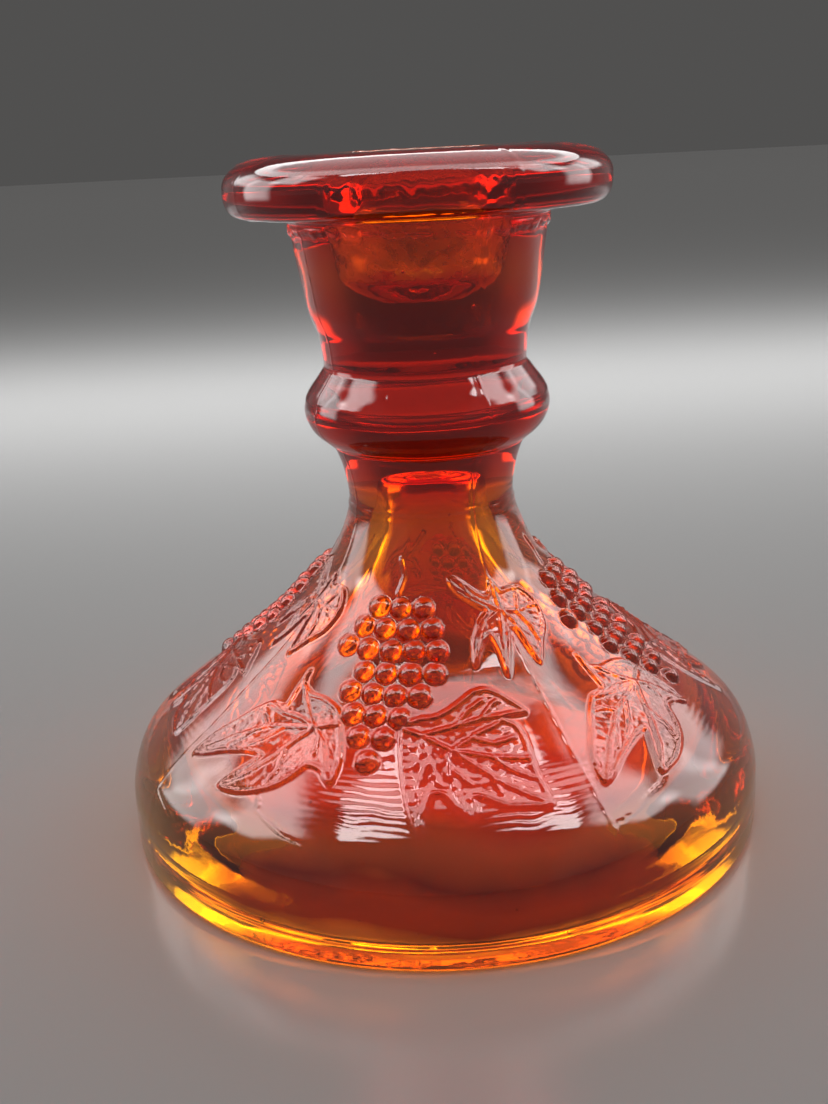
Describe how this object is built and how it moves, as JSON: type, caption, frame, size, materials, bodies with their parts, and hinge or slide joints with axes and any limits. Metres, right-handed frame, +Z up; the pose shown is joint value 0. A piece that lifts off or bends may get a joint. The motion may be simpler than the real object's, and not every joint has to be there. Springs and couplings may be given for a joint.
{
  "type": "candlestick",
  "caption": "Squat pressed-glass candlestick with a broad round lip, waisted cup, ring and hollow bell base with raised grapes and vine leaves; holds one taper candle.",
  "frame": {"origin": "centre of the foot's resting plane, on the candlestick's axis", "axes": "+Z up along the candlestick's axis, from the foot to the lip; -Y faces the viewer, with one panel of grapes turned 17 degrees to its left"},
  "size_m": [0.112, 0.112, 0.115],
  "materials": {
    "amber_red_glass": "glossy fire-polished pressed glass, deep red shading to amber and yellow at the foot"
  },
  "bodies": {
    "root": {"candlestick_body": "amber_red_glass"}
  },
  "joints": []
}
